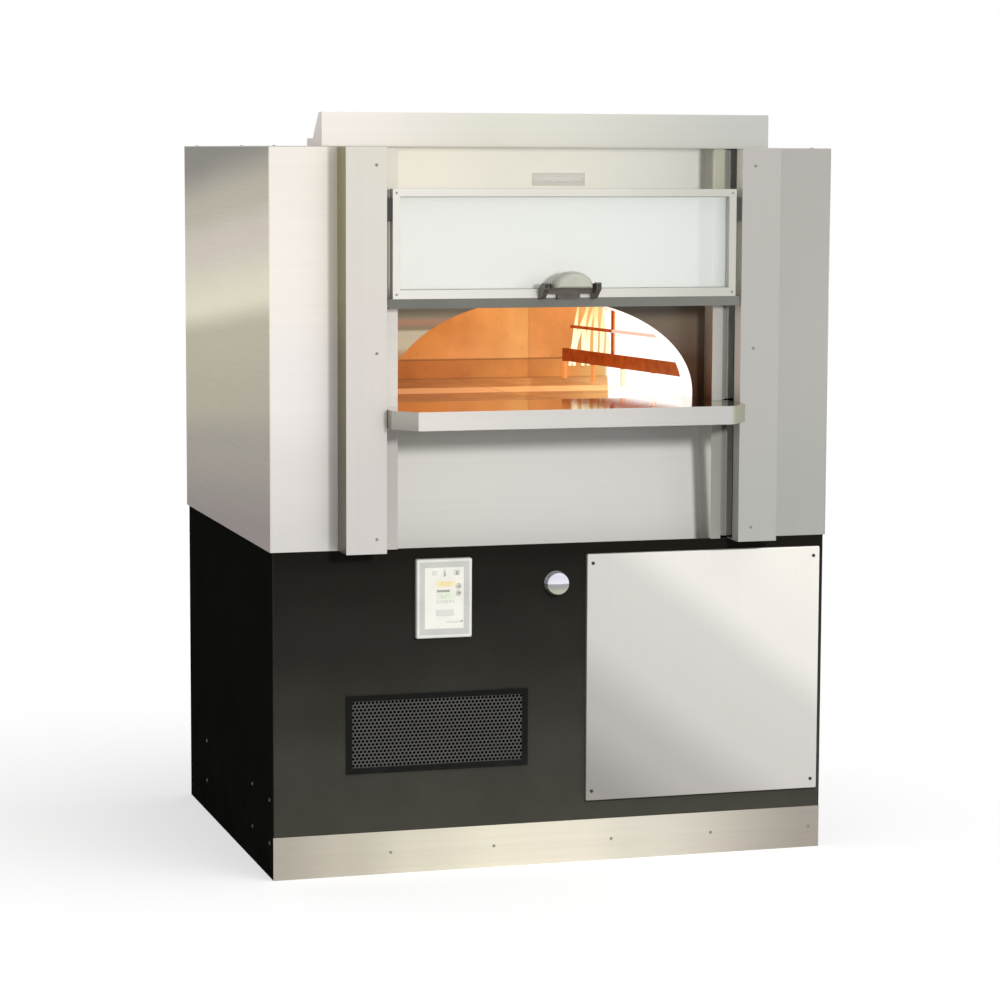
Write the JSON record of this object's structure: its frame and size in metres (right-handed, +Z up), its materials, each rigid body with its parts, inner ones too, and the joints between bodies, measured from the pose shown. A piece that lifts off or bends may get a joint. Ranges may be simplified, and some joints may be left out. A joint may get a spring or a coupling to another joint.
{
  "type": "stone hearth oven",
  "caption": "Gas stone hearth oven on a dark stand: arched chamber, glass door that slides on counterweighted cables, mantle shelf, flame knob, controller and roof vent collar.",
  "frame": {"origin": "centre of the bounding box at the floor", "axes": "+X to the viewer's right, +Y to the back, +Z up"},
  "size_m": [1.372, 1.19, 1.776],
  "materials": {
    "stand_frame": "satin black paint",
    "stand_deck": "satin black paint",
    "stand_left_panel": "satin black paint",
    "stand_right_panel": "satin black paint",
    "stand_back_panel": "satin black paint",
    "stand_front_panel": "satin black paint",
    "kick_plate": "brushed",
    "access_panel": "brushed",
    "grille_frame": "satin black paint",
    "grille_mesh": "matt",
    "controller_housing": "satin",
    "controller_face": "satin",
    "display_windows": "gloss",
    "gas_valve": "cast",
    "gas_inlet": "machined",
    "gas_pipes": "black iron",
    "cable_gland": "matt",
    "body_frame": "satin black paint",
    "hearth_slab": "unglazed",
    "refractory_dome": "cast refractory",
    "insulation_blanket": "ceramic wool",
    "flame_burner": "cast",
    "flame_guard": "heat stained",
    "underfloor_burner": "pressed",
    "thermocouple": "drawn",
    "body_left_panel": "brushed",
    "body_right_panel": "brushed",
    "body_back_panel": "brushed",
    "body_top_panel": "brushed",
    "front_left_panel": "brushed",
    "front_right_panel": "brushed",
    "left_door_post": "brushed",
    "right_door_post": "brushed",
    "header_panel": "brushed",
    "arch_facade": "brushed",
    "apron_panel": "brushed",
    "mantle_shelf": "brushed",
    "vent_fascia": "brushed",
    "flue_duct": "brushed",
    "left_lift_frame": "zinc",
    "right_lift_frame": "zinc",
    "left_lift_cable": "wire rope",
    "right_lift_cable": "wire rope",
    "door_frame": "brushed",
    "door_glass": "clear",
    "door_bottom_bar": "matt black",
    "door_hangers": "matt black",
    "handle_bracket": "matt black",
    "handle_grip": "satin",
    "left_counterweight": "cast",
    "right_counterweight": "cast",
    "left_top_pulley": "turned",
    "right_top_pulley": "turned",
    "left_idler_pulley": "turned",
    "right_idler_pulley": "turned",
    "flame_knob": "polished",
    "valve_stem": "machined",
    "key_up": "satin",
    "key_down": "satin"
  },
  "bodies": {
    "oven": {"stand_frame": "stand_frame", "stand_deck": "stand_deck", "stand_left_panel": "stand_left_panel", "stand_right_panel": "stand_right_panel", "stand_back_panel": "stand_back_panel", "stand_front_panel": "stand_front_panel", "kick_plate": "kick_plate", "access_panel": "access_panel", "grille_frame": "grille_frame", "grille_mesh": "grille_mesh", "controller_housing": "controller_housing", "controller_face": "controller_face", "display_windows": "display_windows", "gas_valve": "gas_valve", "gas_inlet": "gas_inlet", "gas_pipes": "gas_pipes", "cable_gland": "cable_gland", "body_frame": "body_frame", "hearth_slab": "hearth_slab", "refractory_dome": "refractory_dome", "insulation_blanket": "insulation_blanket", "flame_burner": "flame_burner", "flame_guard": "flame_guard", "underfloor_burner": "underfloor_burner", "thermocouple": "thermocouple", "body_left_panel": "body_left_panel", "body_right_panel": "body_right_panel", "body_back_panel": "body_back_panel", "body_top_panel": "body_top_panel", "front_left_panel": "front_left_panel", "front_right_panel": "front_right_panel", "left_door_post": "left_door_post", "right_door_post": "right_door_post", "header_panel": "header_panel", "arch_facade": "arch_facade", "apron_panel": "apron_panel", "mantle_shelf": "mantle_shelf", "vent_fascia": "vent_fascia", "flue_duct": "flue_duct", "left_lift_frame": "left_lift_frame", "right_lift_frame": "right_lift_frame", "left_lift_cable": "left_lift_cable", "right_lift_cable": "right_lift_cable"},
    "door": {"door_frame": "door_frame", "door_glass": "door_glass", "door_bottom_bar": "door_bottom_bar", "door_hangers": "door_hangers", "handle_bracket": "handle_bracket", "handle_grip": "handle_grip"},
    "left_weight": {"left_counterweight": "left_counterweight"},
    "right_weight": {"right_counterweight": "right_counterweight"},
    "left_top_wheel": {"left_top_pulley": "left_top_pulley"},
    "right_top_wheel": {"right_top_pulley": "right_top_pulley"},
    "left_idler_wheel": {"left_idler_pulley": "left_idler_pulley"},
    "right_idler_wheel": {"right_idler_pulley": "right_idler_pulley"},
    "flame_control": {"flame_knob": "flame_knob", "valve_stem": "valve_stem"},
    "up_key": {"key_up": "key_up"},
    "down_key": {"key_down": "key_down"}
  },
  "joints": [
    {"name": "door_slide", "type": "slide", "parent": "oven", "child": "door", "axis": [0, 0, -1], "range_m": [0, 0.226]},
    {"name": "flame_turn", "type": "hinge", "parent": "oven", "child": "flame_control", "pos_m": [0.003, -0.428, 0.675], "axis": [0, -1, 0], "range_deg": [0, 270]},
    {"name": "left_weight_slide", "type": "slide", "parent": "oven", "child": "left_weight", "axis": [0, 0, 1], "range_m": [0, 0.226]},
    {"name": "left_top_spin", "type": "hinge", "parent": "oven", "child": "left_top_wheel", "pos_m": [-0.478, -0.392, 1.645], "axis": [1, 0, 0], "range_deg": [0, 360]},
    {"name": "left_idler_spin", "type": "hinge", "parent": "oven", "child": "left_idler_wheel", "pos_m": [-0.478, -0.392, 0.975], "axis": [1, 0, 0], "range_deg": [0, 360]},
    {"name": "right_weight_slide", "type": "slide", "parent": "oven", "child": "right_weight", "axis": [0, 0, 1], "range_m": [0, 0.226]},
    {"name": "right_top_spin", "type": "hinge", "parent": "oven", "child": "right_top_wheel", "pos_m": [0.478, -0.392, 1.645], "axis": [1, 0, 0], "range_deg": [0, 360]},
    {"name": "right_idler_spin", "type": "hinge", "parent": "oven", "child": "right_idler_wheel", "pos_m": [0.478, -0.392, 0.975], "axis": [1, 0, 0], "range_deg": [0, 360]},
    {"name": "up_key_press", "type": "slide", "parent": "oven", "child": "up_key", "axis": [0, 1, 0], "range_m": [0, 0.001], "stiffness_N_per_m": 1000, "springref_m": -0.001},
    {"name": "down_key_press", "type": "slide", "parent": "oven", "child": "down_key", "axis": [0, 1, 0], "range_m": [0, 0.001], "stiffness_N_per_m": 1000, "springref_m": -0.001}
  ],
  "couplings": [
    {"joint": "left_weight_slide", "follows": "door_slide", "ratio": 1},
    {"joint": "left_top_spin", "follows": "door_slide", "rad_per_m": 27.778},
    {"joint": "left_idler_spin", "follows": "door_slide", "rad_per_m": 27.778},
    {"joint": "right_weight_slide", "follows": "door_slide", "ratio": 1},
    {"joint": "right_top_spin", "follows": "door_slide", "rad_per_m": 27.778},
    {"joint": "right_idler_spin", "follows": "door_slide", "rad_per_m": 27.778}
  ]
}
